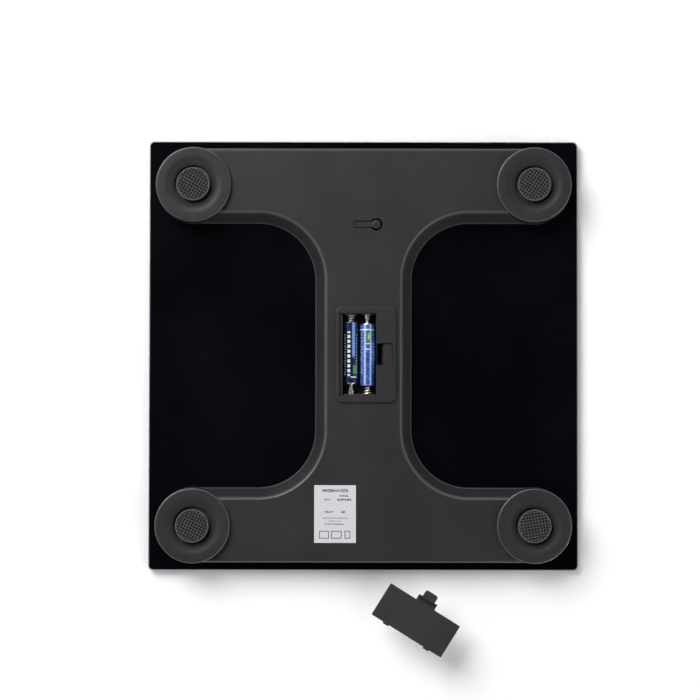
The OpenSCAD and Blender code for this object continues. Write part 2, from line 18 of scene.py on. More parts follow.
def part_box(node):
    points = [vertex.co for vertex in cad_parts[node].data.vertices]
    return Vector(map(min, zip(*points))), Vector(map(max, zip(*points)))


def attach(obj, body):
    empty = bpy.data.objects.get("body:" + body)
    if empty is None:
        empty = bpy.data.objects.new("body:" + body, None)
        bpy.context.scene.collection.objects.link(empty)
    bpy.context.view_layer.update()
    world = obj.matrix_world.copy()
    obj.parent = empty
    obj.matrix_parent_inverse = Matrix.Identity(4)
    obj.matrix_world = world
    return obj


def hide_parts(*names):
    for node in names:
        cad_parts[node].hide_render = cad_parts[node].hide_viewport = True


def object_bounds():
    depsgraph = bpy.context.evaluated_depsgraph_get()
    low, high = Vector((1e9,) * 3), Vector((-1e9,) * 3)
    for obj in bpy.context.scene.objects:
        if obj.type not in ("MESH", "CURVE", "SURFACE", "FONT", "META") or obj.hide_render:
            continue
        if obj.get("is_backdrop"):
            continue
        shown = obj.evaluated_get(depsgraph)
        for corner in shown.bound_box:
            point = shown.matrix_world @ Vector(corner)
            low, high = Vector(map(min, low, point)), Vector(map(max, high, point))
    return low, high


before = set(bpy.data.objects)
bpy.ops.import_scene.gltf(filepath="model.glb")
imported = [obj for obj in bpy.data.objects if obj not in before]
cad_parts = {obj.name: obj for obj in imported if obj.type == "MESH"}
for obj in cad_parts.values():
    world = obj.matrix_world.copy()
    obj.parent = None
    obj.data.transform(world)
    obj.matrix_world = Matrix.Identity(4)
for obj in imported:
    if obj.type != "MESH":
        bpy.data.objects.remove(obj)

LOG = logging.getLogger("bathroom_scale")
MM = 0.001
CORNERS = ("front_left", "front_right", "rear_left", "rear_right")
Colour = tuple[float, float, float]


# ---------------------------------------------------------------- shader maths

class Wire:
    """A value socket with arithmetic: each operator adds one Math node and returns its output."""

    def __init__(self, recipe: "Recipe", socket: bpy.types.NodeSocket) -> None:
        """Wraps one output socket of the recipe's node tree."""
        self.recipe = recipe
        self.socket = socket

    def _math(self, operation: str, *values: "Wire | float") -> "Wire":
        """Adds a Math node.

        Args:
            operation: the Math node's operation.
            values: wires or numbers for its inputs, in order.

        Returns:
            The node's output as a wire.
        """
        node = self.recipe.node("ShaderNodeMath", {"operation": operation}, dict(enumerate(values)))
        return Wire(self.recipe, node.outputs[0])

    def __add__(self, other: "Wire | float") -> "Wire":
        """Sum."""
        return self._math("ADD", self, other)

    __radd__ = __add__

    def __sub__(self, other: "Wire | float") -> "Wire":
        """Difference."""
        return self._math("SUBTRACT", self, other)

    def __rsub__(self, other: "Wire | float") -> "Wire":
        """Difference with the number first."""
        return self._math("SUBTRACT", other, self)

    def __mul__(self, other: "Wire | float") -> "Wire":
        """Product."""
        return self._math("MULTIPLY", self, other)

    __rmul__ = __mul__

    def __truediv__(self, other: "Wire | float") -> "Wire":
        """Quotient."""
        return self._math("DIVIDE", self, other)

    def __pow__(self, other: "Wire | float") -> "Wire":
        """Power."""
        return self._math("POWER", self, other)

    def __gt__(self, other: "Wire | float") -> "Wire":
        """1 where the wire is greater, else 0."""
        return self._math("GREATER_THAN", self, other)

    def __lt__(self, other: "Wire | float") -> "Wire":
        """1 where the wire is less, else 0."""
        return self._math("LESS_THAN", self, other)

    def abs(self) -> "Wire":
        """Size without sign."""
        return self._math("ABSOLUTE", self)

    def fract(self) -> "Wire":
        """Part after the point."""
        return self._math("FRACT", self)

    def most(self, other: "Wire | float") -> "Wire":
        """The greater of two."""
        return self._math("MAXIMUM", self, other)

    def hypot(self, other: "Wire") -> "Wire":
        """Distance of the point (self, other) from the origin."""
        return (self * self + other * other) ** 0.5

    def angle(self, other: "Wire") -> "Wire":
        """Angle of the point (other, self) in radians."""
        return self._math("ARCTAN2", self, other)

    def within(self, low: float, high: float, soft: float = 0.0) -> "Wire":
        """A band.

        Args:
            low: where the band starts.
            high: where it ends.
            soft: width of its soft edges, 0 for sharp ones.

        Returns:
            1 between low and high, 0 outside.
        """
        if soft <= 0:
            return (self > low) * (self < high)
        return self.ramp(low - soft, low + soft) * (1 - self.ramp(high - soft, high + soft))

    def ramp(self, low: float, high: float, to_low: float = 0.0, to_high: float = 1.0) -> "Wire":
        """Smooth step from to_low at low to to_high at high."""
        node = self.recipe.node("ShaderNodeMapRange", {"interpolation_type": "SMOOTHSTEP"},
                                {"Value": self, "From Min": low, "From Max": high,
                                 "To Min": to_low, "To Max": to_high})
        return Wire(self.recipe, node.outputs[0])


class Recipe:
    """One material's node tree, with its Principled shader and its output made."""

    def __init__(self, name: str) -> None:
        """Starts an empty material of that name."""
        self.material = bpy.data.materials.new(name)
        self.material.use_nodes = True
        self.tree = self.material.node_tree
        self.tree.nodes.clear()
        self.shader = self.tree.nodes.new("ShaderNodeBsdfPrincipled")
        self.output = self.tree.nodes.new("ShaderNodeOutputMaterial")
        self.tree.links.new(self.shader.outputs[0], self.output.inputs["Surface"])

    def node(self, kind: str, settings: dict | None = None, sockets: dict | None = None) -> bpy.types.Node:
        """Adds one node.

        Args:
            kind: the node's type name.
            settings: attributes that are set first.
            sockets: input name or number to a value, a wire or an output socket.

        Returns:
            The new node.
        """
        node = self.tree.nodes.new(kind)
        for key, value in (settings or {}).items():
            setattr(node, key, value)
        for key, value in (sockets or {}).items():
            self.feed(node.inputs[key], value)
        return node

    def feed(self, socket: bpy.types.NodeSocket, value: object) -> None:
        """Sets an input to a number or colour, or links a wire or an output to it."""
        if isinstance(value, Wire):
            value = value.socket
        if isinstance(value, bpy.types.NodeSocket):
            self.tree.links.new(value, socket)
        elif isinstance(value, (tuple, list)) and len(value) == 3 and socket.type == "RGBA":
            socket.default_value = (*value, 1.0)
        else:
            socket.default_value = value

    def set(self, **values: object) -> None:
        """Feeds the Principled shader's inputs; an underscore stands for a space in a name."""
        for key, value in values.items():
            self.feed(self.shader.inputs[key.replace("_", " ")], value)

    def place_mm(self, centre: Sequence[float] = (0, 0, 0)) -> bpy.types.NodeSocket:
        """Object coordinates in millimetres from a centre.

        Args:
            centre: the point that becomes the origin, in millimetres.

        Returns:
            The vector output.
        """
        coords = self.node("ShaderNodeTexCoord")
        scaled = self.node("ShaderNodeVectorMath", {"operation": "SCALE"},
                           {0: coords.outputs["Object"], "Scale": 1 / MM})
        shifted = self.node("ShaderNodeVectorMath", {"operation": "SUBTRACT"},
                            {0: scaled.outputs[0], 1: tuple(centre)})
        return shifted.outputs[0]

    def split(self, vector: bpy.types.NodeSocket) -> tuple[Wire, Wire, Wire]:
        """The three parts of a vector as wires."""
        node = self.node("ShaderNodeSeparateXYZ", sockets={0: vector})
        return tuple(Wire(self, node.outputs[i]) for i in range(3))

    def noise(self, vector: bpy.types.NodeSocket, size: float, detail: float = 2.0,
              roughness: float = 0.5) -> Wire:
        """Cloudy noise from 0 to 1.

        Args:
            vector: where it is read, in millimetres.
            size: width of a cloud in millimetres.
            detail: how many finer layers it has.
            roughness: how strong they are.

        Returns:
            The noise value.
        """
        node = self.node("ShaderNodeTexNoise", {"noise_dimensions": "3D"},
                         {"Vector": vector, "Scale": 1 / size, "Detail": detail, "Roughness": roughness})
        return Wire(self, node.outputs[0])

    def cells(self, vector: bpy.types.NodeSocket, size: float) -> Wire:
        """Distance to the nearest of scattered points, about size millimetres apart."""
        node = self.node("ShaderNodeTexVoronoi", {"feature": "F1"}, {"Vector": vector, "Scale": 1 / size})
        return Wire(self, node.outputs["Distance"])

    def mix(self, factor: Wire | float, first: object, second: object) -> bpy.types.NodeSocket:
        """Mixes two colours; factor 1 gives the second."""
        node = self.node("ShaderNodeMix", {"data_type": "RGBA"}, {0: factor, 6: first, 7: second})
        return node.outputs[2]

    def bump(self, height: Wire, depth_mm: float) -> bpy.types.NodeSocket:
        """Normal from a height of 0 to 1 that is depth_mm deep."""
        node = self.node("ShaderNodeBump", sockets={"Height": height, "Distance": depth_mm * MM,
                                                    "Strength": 1.0})
        return node.outputs[0]


# ---------------------------------------------------------------- finishes

@dataclass(frozen=True)
class MouldedPlastic:
    """Spark-eroded moulded plastic: fine grain, a faint cloudiness and some dust, with a painted highlight
    and painted shade where a subclass places them.
    """

    name: str
    colour: Colour
    roughness: float = 0.46
    grain_mm: float = 0.95
    grain_depth: float = 0.05
    cloud: float = 0.24
    dust: float = 0.05
    specular: float = 0.45
    highlight_gain: float = 4.2
    shade_gain: float = 0.08
    shade_roughness: float = 0.4

    def painted_highlight(self, r: Recipe, at: bpy.types.NodeSocket) -> "Wire | float":
        """How much painted highlight the surface gets, from 0 to 1: none on a plain moulding."""
        return 0.0

    def painted_shade(self, r: Recipe, at: bpy.types.NodeSocket) -> "Wire | float":
        """How much painted shade darkens the surface, from 0 to 1: none on a plain moulding."""
        return 0.0

    def _shade(self, gain: float) -> Colour:
        """The moulding's colour times a gain."""
        return tuple(c * gain for c in self.colour)

    def make(self) -> bpy.types.Material:
        """Builds the material."""
        r = Recipe(self.name)
        at = r.place_mm()
        grain = r.noise(at, self.grain_mm, 3.0, 0.6)
        cloud = r.noise(at, 46.0, 3.0, 0.55)
        patch = r.noise(at, 9.0, 2.0)
        specks = 1 - r.cells(at, 6.5).ramp(0.025, 0.06)
        light = tuple(min(1.0, c * (1 + self.cloud)) for c in self.colour)
        dark = self._shade(1 - self.cloud)
        tone = r.mix((cloud * 0.5 + patch * 0.2 + grain * 0.6).ramp(0.4, 0.9), dark, light)
        painted_highlight, painted_shade = self.painted_highlight(r, at), self.painted_shade(r, at)
        roughness = cloud * 0.1 + grain * 0.08 + (self.roughness - 0.09)
        # Painted highlight: the colour is lifted towards a multiple of its own, broken up by the grain, and
        # the surface is made less rough.
        if isinstance(painted_highlight, Wire):
            tone = r.mix(painted_highlight * grain.ramp(0.1, 0.6, 0.75, 1.0), tone, self._shade(self.highlight_gain))
            roughness = roughness - painted_highlight * 0.08
        # Painted shade: the colour is darkened towards a small fraction of its own, and the surface is made
        # rougher.
        if isinstance(painted_shade, Wire):
            tone = r.mix(painted_shade, tone, self._shade(self.shade_gain))
            roughness = roughness + painted_shade * self.shade_roughness
        pale_tone = tuple(c + 0.16 for c in self.colour)
        r.set(Base_Color=r.mix(specks * self.dust, tone, pale_tone), Roughness=roughness,
              Normal=r.bump(grain, self.grain_depth))
        r.set(Specular_IOR_Level=self.specular)
        return r.material


@dataclass(frozen=True)
class HousingPlastic(MouldedPlastic):
    """The base moulding, with a painted highlight along its edges and painted shade inside the battery bay
    and the latch slot and round the label and the key.

    The label's place is given to it. The other places are the base moulding's own dimensions, in
    millimetres, which no node's box shows.

    The outline of the H is read from the distance to the middle of a side bay's round corner,
    hypot(max(middle x - |x|, 0), max(|y| - middle y, 0)), which is the same all along its edge.
    """

    bay_middle: tuple[float, float] = (73.6, 52.3)
    rim_radius: float = 40.0
    flat_radius: float = 47.4
    bar_outer: float = 144.0
    boss_z: float = 5.0
    label_middle: tuple[float, float] = (0.0, 0.0)
    label_half: tuple[float, float] = (0.0, 0.0)
    key_ends: tuple[float, float] = (-8.8, 6.3)
    key_y: float = 91.0
    well_low: tuple[float, float] = (-14.3, -28.3)
    well_high: tuple[float, float] = (16.9, 29.4)

    def painted_highlight(self, r: Recipe, at: bpy.types.NodeSocket) -> Wire:
        """Painted highlight: 1 on the soft edges of the flat and on the thin rim under the glass, 0.6 along
        the bars' outer edges.
        """
        x, y, z = r.split(at)
        across = (self.bay_middle[0] - x.abs()).most(0.0)
        along = (y.abs() - self.bay_middle[1]).most(0.0)
        reach = across.hypot(along)
        # The painted highlight runs along the flat's rounded edge, the rim where the walls meet the glass and
        # the bars' outer edges.
        edge = (reach - self.flat_radius).within(-1.1, 0.9, 0.4) * (z < 10.0)
        rim = (reach - self.rim_radius).within(-0.5, 0.7, 0.25) * (z > 16.0)
        outer = (self.bar_outer - y.abs()).within(-0.2, 1.2, 0.3) * (z < 9.5) * 0.6
        return edge.most(rim).most(outer)

    def painted_shade(self, r: Recipe, at: bpy.types.NodeSocket) -> Wire:
        """Painted shade: 1 deep inside the bay and the latch slot; less in a band round the label and round
        the key, where it is broken up by noise.
        """
        x, y, z = r.split(at)
        aside = (x - self.label_middle[0]).abs() - self.label_half[0]
        above = (y - self.label_middle[1]).abs() - self.label_half[1]
        # Painted shade in a band round the label's edge.
        label_shade = aside.most(above).within(-0.6, 0.75, 0.3) * 0.75
        past_end = (x - self.key_ends[1]).most(self.key_ends[0] - x).most(0.0)
        off_key = past_end.hypot(y - self.key_y)
        # Painted shade round the key, broken up by noise.
        key_shade = (1 - off_key.ramp(2.2, 6.5)) * r.noise(at, 3.0, 2.0).ramp(0.2, 0.7, 0.35, 0.75)
        # Painted shade deep in the battery bay and the latch slot, growing with depth.
        inside = (x.within(self.well_low[0], self.well_high[0])
                  * y.within(self.well_low[1], self.well_high[1]))
        return (inside * z.ramp(self.boss_z + 1.4, self.boss_z + 3.0)).most(label_shade).most(key_shade)


@dataclass(frozen=True)
class RingPlastic(MouldedPlastic):
    """A foot ring's moulding, with a painted highlight round its outer edge and painted shade in the dish
    inside it.
    """

    centre: tuple[float, float] = (0.0, 0.0)
    edge_radius: float = 26.0
    shade_full: float = 13.5
    shade_gone: float = 19.5
    dish_shade: float = 0.8

    def _reach(self, r: Recipe, at: bpy.types.NodeSocket) -> Wire:
        """Distance from the foot's axis."""
        x, y, _ = r.split(at)
        return (x - self.centre[0]).hypot(y - self.centre[1])

    def painted_highlight(self, r: Recipe, at: bpy.types.NodeSocket) -> Wire:
        """Painted highlight: 1 in a thin band round the outer edge."""
        return self._reach(r, at).within(self.edge_radius - 0.75, self.edge_radius + 0.2, 0.2)

    def painted_shade(self, r: Recipe, at: bpy.types.NodeSocket) -> Wire:
        """Painted shade in the dish round the pad."""
        return (1 - self._reach(r, at).ramp(self.shade_full, self.shade_gone)) * self.dish_shade


@dataclass(frozen=True)
class PlateGlass:
    """Clear float glass with a faint green tint, light wipe marks and specks of dust."""

    name: str
    tint: Colour = (0.86, 0.93, 0.91)

    def make(self) -> bpy.types.Material:
        """Builds the material."""
        r = Recipe(self.name)
        at = r.place_mm()
        smear = r.noise(at, 60.0, 4.0, 0.6)
        specks = 1 - r.cells(at, 9.0).ramp(0.02, 0.045)
        r.set(Base_Color=r.mix(specks * 0.3, self.tint, (0.9, 0.9, 0.9)),
              Roughness=smear.ramp(0.45, 0.8, 0.015, 0.07) + specks * 0.3)
        r.set(IOR=1.5, Transmission_Weight=1.0)
        return r.material


@dataclass(frozen=True)
class ScreenPrint:
    """Opaque ink on glass, smooth with a faint screen texture and slight unevenness."""

    name: str
    colour: Colour
    roughness: float = 0.3

    def make(self) -> bpy.types.Material:
        """Builds the material."""
        r = Recipe(self.name)
        at = r.place_mm()
        cloud = r.noise(at, 70.0, 3.0)
        screen = r.noise(at, 0.5, 1.0)
        haze = tuple(c * 1.4 + 0.0006 for c in self.colour)
        r.set(Base_Color=r.mix(cloud.ramp(0.3, 0.8), self.colour, haze),
              Roughness=cloud * 0.14 + (self.roughness - 0.07), Normal=r.bump(screen, 0.004))
        r.set(Specular_IOR_Level=0.2)
        return r.material


@dataclass(frozen=True)
class Rubber:
    """Soft dull dark rubber with fine pores, and a cloudy paler tone on the lowest faces of its tread."""

    name: str
    colour: Colour
    pale_tone: Colour

    def make(self) -> bpy.types.Material:
        """Builds the material."""
        r = Recipe(self.name)
        at = r.place_mm()
        _, _, z = r.split(at)
        pores = r.noise(at, 0.25, 2.0)
        bloom = r.noise(at, 4.0, 3.0)
        # Paler towards the tread's lowest 0.4 mm, the ridge faces, so the pits between them stay darker.
        ridge_paling = (1 - z.ramp(0.0, 0.4)) * 0.8
        r.set(Base_Color=r.mix((ridge_paling * bloom.ramp(0.2, 0.7, 0.55, 1.0)), self.colour, self.pale_tone),
              Roughness=bloom * 0.16 + 0.7, Normal=r.bump(pores, 0.02))
        r.set(Specular_IOR_Level=0.3)
        return r.material


@dataclass(frozen=True)
class BareMetal:
    """Plated or rolled metal with fine scratches and a light tarnish."""

    name: str
    colour: Colour
    tarnish: Colour
    roughness: float = 0.28
    along: Sequence[float] = (1.0, 0.06, 1.0)

    def make(self) -> bpy.types.Material:
        """Builds the material."""
        r = Recipe(self.name)
        at = r.place_mm()
        drawn = r.node("ShaderNodeVectorMath", {"operation": "MULTIPLY"}, {0: at, 1: tuple(self.along)})
        scratches = r.noise(drawn.outputs[0], 0.22, 2.0)
        cloud = r.noise(at, 5.0, 3.0)
        r.set(Base_Color=r.mix(cloud.ramp(0.45, 0.8), self.colour, self.tarnish),
              Roughness=scratches * 0.16 + cloud * 0.1 + (self.roughness - 0.12),
              Normal=r.bump(scratches, 0.006))
        r.set(Metallic=1.0)
        return r.material


class SleevePrint(Enum):
    """How a battery's sleeve is printed along its length."""

    DARK_SIDE_OUT = "navy with a row of plain blocks facing out of the bay"
    LIGHT_SIDE_OUT = "blue with a silver flash and plain rings facing out of the bay"


@dataclass(frozen=True)
class BatterySleeve:
    """Shrunk plastic sleeve, printed with a plain design of bands, blocks and ticks."""

    name: str
    centre: tuple[float, float]
    design: SleevePrint
    toward_nub: int
    middle_y: float

    def make(self) -> bpy.types.Material:
        """Builds the material; the design is laid out in the angle round the cell and the length."""
        r = Recipe(self.name)
        at = r.place_mm((self.centre[0], self.middle_y, self.centre[1]))
        x, y, z = r.split(at)
        around = x.angle(0 - z) * 5.25
        along = y * float(self.toward_nub)
        navy, blue, sky = (0.004, 0.006, 0.03), (0.02, 0.07, 0.36), (0.2, 0.33, 0.72)
        white, green, silver = (0.82, 0.84, 0.84), (0.05, 0.28, 0.06), (0.6, 0.63, 0.68)
        soft = r.noise(at, 2.2, 2.0)
        if self.design is SleevePrint.DARK_SIDE_OUT:
            paint = r.mix(soft.ramp(0.3, 0.7), navy, (0.004, 0.02, 0.07))
            streak = around.within(-2.9, -0.9, 0.35) * along.within(-22.0, 2.0, 1.2)
            paint = r.mix(streak, paint, sky)
            patch = around.within(-4.2, -1.6, 0.2) * along.within(8.0, 14.0, 0.6)
            paint = r.mix(patch, paint, green)
            blocks = around.within(0.4, 2.4) * ((along / 3.4).fract()).within(0.18, 0.8)
            paint = r.mix(blocks * along.within(-15.5, 15.5), paint, white)
            ring = along.within(15.9, 16.7)
            paint = r.mix(ring * around.within(-4.4, 0.2), paint, white)
        else:
            paint = r.mix(soft.ramp(0.3, 0.7), blue, (0.05, 0.2, 0.62))
            flash = around.within(-2.7, -1.5, 0.3).most(around.within(1.3, 2.6, 0.3))
            paint = r.mix(flash * 0.85, paint, silver)
            patch = around.within(-1.6, 1.0, 0.2) * along.within(8.0, 15.0, 0.5)
            paint = r.mix(patch, paint, green)
            glow = around.within(-1.4, -0.2, 0.3) * along.within(10.0, 14.0, 1.0)
            paint = r.mix(glow * 0.8, paint, (0.5, 0.75, 0.4))
            rings = along.within(6.6, 7.3).most(along.within(2.8, 3.5))
            paint = r.mix(rings * around.within(-1.8, 1.8), paint, white)
            band = along.within(16.2, 17.2)
            paint = r.mix(band, paint, white)
        sides = around.abs().within(4.3, 4.9) * ((along / 2.0).fract()).within(0.2, 0.75)
        paint = r.mix(sides * along.within(-14.0, 15.0) * 0.9, paint, white)
        r.set(Base_Color=paint, Roughness=soft * 0.1 + 0.22)
        r.set(Metallic=0.25, Coat_Weight=0.6, Coat_Roughness=0.12)
        return r.material


@dataclass(frozen=True)
class RatingPaper:
    """White label stock with plain grey lines where the data would be, and blank boxes below."""

    name: str
    centre: tuple[float, float]

    def make(self) -> bpy.types.Material:
        """Builds the material; x runs as it is read from below and y up the label."""
        r = Recipe(self.name)
        at = r.place_mm((self.centre[0], self.centre[1], 0.0))
        x, y, _ = r.split(at)
        across = 0 - x
        fibre = r.noise(at, 0.8, 2.0)
        flecks = r.noise(at, 0.75, 1.0)
        ink = (0.035, 0.04, 0.05)
        paper = r.mix(fibre.ramp(0.3, 0.7), (0.55, 0.56, 0.585), (0.62, 0.62, 0.64))
        word = flecks.ramp(0.44, 0.52)
        rows: list[tuple[float, float, float, float, float]] = [
            (16.2, 2.0, -9.0, 9.0, 1.0), (12.6, 1.3, 3.0, 9.5, 0.95), (9.9, 1.4, -7.5, -3.6, 0.9),
            (9.9, 1.4, 1.5, 11.5, 1.0), (1.4, 1.3, -7.0, -1.0, 0.9), (1.4, 1.6, 4.4, 6.8, 1.0),
            (-2.8, 1.0, -9.0, 9.5, 0.6), (-4.9, 1.0, -5.0, 4.0, 0.6), (-7.0, 1.1, -7.5, 6.5, 0.75)]
        for middle, tall, left, right, strength in rows:
            line = y.within(middle - tall / 2, middle + tall / 2) * across.within(left, right)
            paper = r.mix(line * word * strength, paper, ink)
        for left, right in ((-11.0, -4.2), (-2.6, 4.6), (6.6, 10.6)):
            box = (across.within(left, right) * y.within(-17.0, -11.6)
                   - across.within(left + 0.55, right - 0.55) * y.within(-16.45, -12.15))
            paper = r.mix(box * 0.9, paper, ink)
        r.set(Base_Color=paper, Roughness=fibre * 0.1 + 0.4)
        r.set(Coat_Weight=0.15, Coat_Roughness=0.3)
        return r.material


@dataclass(frozen=True)
class SolderMask:
    """Green board lacquer over a weave of glass fibre with faint copper tracks."""

    name: str

    def make(self) -> bpy.types.Material:
        """Builds the material."""
        r = Recipe(self.name)
        at = r.place_mm()
        x, y, _ = r.split(at)
        lanes = (x * 0.5).fract().within(0.3, 0.6) * r.noise(at, 14.0, 1.0).ramp(0.5, 0.52)
        weave = ((x / 0.6).fract() - 0.5).abs() + ((y / 0.6).fract() - 0.5).abs()
        green = r.mix(lanes * 0.7, (0.012, 0.09, 0.04), (0.03, 0.19, 0.07))
        r.set(Base_Color=green, Roughness=weave * 0.12 + 0.24, Normal=r.bump(lanes, 0.03))
        r.set(Coat_Weight=0.3, Coat_Roughness=0.1)
        return r.material


@dataclass(frozen=True)
class SmallPart:
    """A small moulded, cast or dipped part with a mottled surface."""

    name: str
    colour: Colour
    other: Colour
    roughness: float = 0.45
    size_mm: float = 1.6

    def make(self) -> bpy.types.Material:
        """Builds the material."""
        r = Recipe(self.name)
        at = r.place_mm()
        mottle = r.noise(at, self.size_mm, 3.0)
        fine = r.noise(at, self.size_mm / 8, 1.0)
        r.set(Base_Color=r.mix(mottle.ramp(0.3, 0.7), self.colour, self.other),
              Roughness=mottle * 0.14 + (self.roughness - 0.07), Normal=r.bump(fine, 0.012))
        return r.material


@dataclass(frozen=True)
class LiquidCrystal:
    """Grey-green display glass with the faint ghosts of its digits' bars."""

    name: str
    centre: tuple[float, float]

    def make(self) -> bpy.types.Material:
        """Builds the material: four cells across, each with seven faint bars."""
        r = Recipe(self.name)
        at = r.place_mm((self.centre[0], self.centre[1], 0.0))
        x, y, _ = r.split(at)
        cell = ((x / 15.0).fract() - 0.5) * 15.0
        bars = (cell.abs().within(3.6, 4.6) * y.abs().within(0.8, 8.6)).most(
            cell.abs().within(-1.0, 3.4) * (y.abs().within(8.2, 9.2).most(y.abs().within(-1.0, 0.5))))
        haze = r.noise(at, 20.0, 2.0)
        ghost = bars * x.within(-30.0, 30.0) * 0.35
        base = r.mix(haze, (0.2, 0.23, 0.21), (0.26, 0.29, 0.26))
        r.set(Base_Color=r.mix(ghost, base, (0.1, 0.115, 0.11)), Roughness=haze * 0.06 + 0.16)
        r.set(Coat_Weight=0.4)
        return r.material


@dataclass(frozen=True)
class StudioSurface:
    """Matt pale surface that is seen from its face and clear from its back."""

    name: str
    colour: Colour

    def make(self) -> bpy.types.Material:
        """Builds the material: the back shows a clear shader in place of the matt one."""
        r = Recipe(self.name)
        r.set(Base_Color=self.colour, Roughness=0.95, Specular_IOR_Level=0.0)
        face = r.node("ShaderNodeNewGeometry")
        clear = r.node("ShaderNodeBsdfTransparent")
        both = r.node("ShaderNodeMixShader",
                      sockets={0: face.outputs["Backfacing"], 1: r.shader.outputs[0], 2: clear.outputs[0]})
        r.tree.links.new(both.outputs[0], r.output.inputs["Surface"])
        return r.material


# ---------------------------------------------------------------- surfaces

def surface(name: str, points: np.ndarray, wrap_rows: bool, wrap_columns: bool,
            close_ends: bool = False) -> bpy.types.Object:
    """Makes an object from a grid of points.

    The faces join each point to its neighbours in the next row and column. close_ends fans the
    first and the last row, which are then rings, to their middle points.

    Args:
        name: the piece's name.
        points: rows x columns x 3 array in metres.
        wrap_rows: the last row joins the first.
        wrap_columns: the last column joins the first.
        close_ends: fan both end rows to their middles.

    Returns:
        The new object, at the origin.
    """
    rows, columns = points.shape[:2]
    index = np.arange(rows * columns).reshape(rows, columns)
    if wrap_rows:
        index = np.vstack([index, index[:1]])
    if wrap_columns:
        index = np.hstack([index, index[:, :1]])
    quads = np.stack([index[:-1, :-1], index[:-1, 1:], index[1:, 1:], index[1:, :-1]], -1).reshape(-1, 4)
    verts = points.reshape(-1, 3)
    loops = [quads.reshape(-1)]
    sizes = [np.full(len(quads), 4)]
    if close_ends:
        for row, flip in ((0, True), (rows - 1, False)):
            ring = np.arange(columns) + row * columns
            after = np.roll(ring, -1)
            middle = np.full(columns, len(verts))
            verts = np.vstack([verts, points[row].mean(0)])
            fan = np.stack([middle, after, ring] if flip else [middle, ring, after], -1)
            loops.append(fan.reshape(-1))
            sizes.append(np.full(columns, 3))
    loops_all, sizes_all = np.concatenate(loops), np.concatenate(sizes)
    mesh = bpy.data.meshes.new(name)
    mesh.vertices.add(len(verts))
    mesh.vertices.foreach_set("co", verts.astype(np.float32).ravel())
    mesh.loops.add(len(loops_all))
    mesh.loops.foreach_set("vertex_index", loops_all.astype(np.int32))
    mesh.polygons.add(len(sizes_all))
    mesh.polygons.foreach_set("loop_start", np.concatenate([[0], np.cumsum(sizes_all)[:-1]]).astype(np.int32))
    mesh.update(calc_edges=True)
    mesh.validate()
    return finish_mesh(name, mesh)


def finish_mesh(name: str, mesh: bpy.types.Mesh, smooth_to: float = 38.0) -> bpy.types.Object:
    """Merges doubles, turns the faces outwards and shades smooth up to an angle.

    Args:
        name: the piece's name.
        mesh: its mesh.
        smooth_to: edges sharper than this many degrees stay sharp.

    Returns:
        The linked object.
    """
    work = bmesh.new()
    work.from_mesh(mesh)
    bmesh.ops.remove_doubles(work, verts=work.verts, dist=1e-6)
    bmesh.ops.dissolve_degenerate(work, edges=work.edges, dist=1e-7)
    bmesh.ops.recalc_face_normals(work, faces=work.faces)
    work.to_mesh(mesh)
    work.free()
    mesh.shade_smooth()
    mesh.set_sharp_from_angle(angle=math.radians(smooth_to))
    piece = bpy.data.objects.new(name, mesh)
    bpy.context.scene.collection.objects.link(piece)
    return piece


def turned(profile: Sequence[tuple[float, float]], segments: int) -> np.ndarray:
    """A profile of (radius, height) pairs carried round the vertical axis.

    x = radius cos(angle), y = radius sin(angle), z = height, one column per angle.

    Args:
        profile: the pairs, in metres.
        segments: how many columns.

    Returns:
        rows x columns x 3 array.
    """
    radius, height = np.array(profile, float).T
    angle = np.linspace(0, 2 * math.pi, segments, endpoint=False)
    return np.stack([radius[:, None] * np.cos(angle), radius[:, None] * np.sin(angle),
                     np.repeat(height[:, None], segments, 1)], -1)


def rounded(corners: Sequence[tuple[float, float, float]], steps: int,
            closed: bool) -> list[tuple[float, float]]:
    """A line of corners with each corner turned into an arc.

    Each corner is cut at its own distance along both sides, and the cut is joined by the
    quadratic curve (1-t)^2 a + 2t(1-t) corner + t^2 b.

    Args:
        corners: (across, up, cut) for each corner; a cut of 0 keeps it sharp.
        steps: points along each curve.
        closed: whether the line ends where it starts.

    Returns:
        (across, up) pairs.
    """
    pts = np.array([c[:2] for c in corners], float)
    out: list[tuple[float, float]] = []
    count = len(pts)
    for i, (_, _, cut) in enumerate(corners):
        before, here, after = pts[(i - 1) % count], pts[i], pts[(i + 1) % count]
        if cut <= 0 or (not closed and i in (0, count - 1)):
            out.append(tuple(here))
            continue
        a = here + (before - here) / np.linalg.norm(before - here) * cut
        b = here + (after - here) / np.linalg.norm(after - here) * cut
        for t in np.linspace(0, 1, steps + 1):
            out.append(tuple((1 - t) ** 2 * a + 2 * t * (1 - t) * here + t ** 2 * b))
    return out


def box_middle(node: str) -> np.ndarray:
    """The middle of a CAD node's box."""
    low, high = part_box(node)
    return (np.array(low) + np.array(high)) / 2


@dataclass
class Placing:
    """Which body a piece rides on and which nodes it stands for; its slot name is not used."""

    body: str
    slot: str
    nodes: Sequence[str]

    def apply(self, piece: bpy.types.Object, material: bpy.types.Material) -> bpy.types.Object:
        """Dresses a piece and ties it to its body.

        Args:
            piece: the finished object.
            material: its finish.

        Returns:
            The same object.
        """
        piece.data.materials.clear()
        piece.data.materials.append(material)
        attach(piece, self.body)
        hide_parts(*self.nodes)
        LOG.info("made %s: %d faces on %s", piece.name, len(piece.data.polygons), self.body)
        return piece


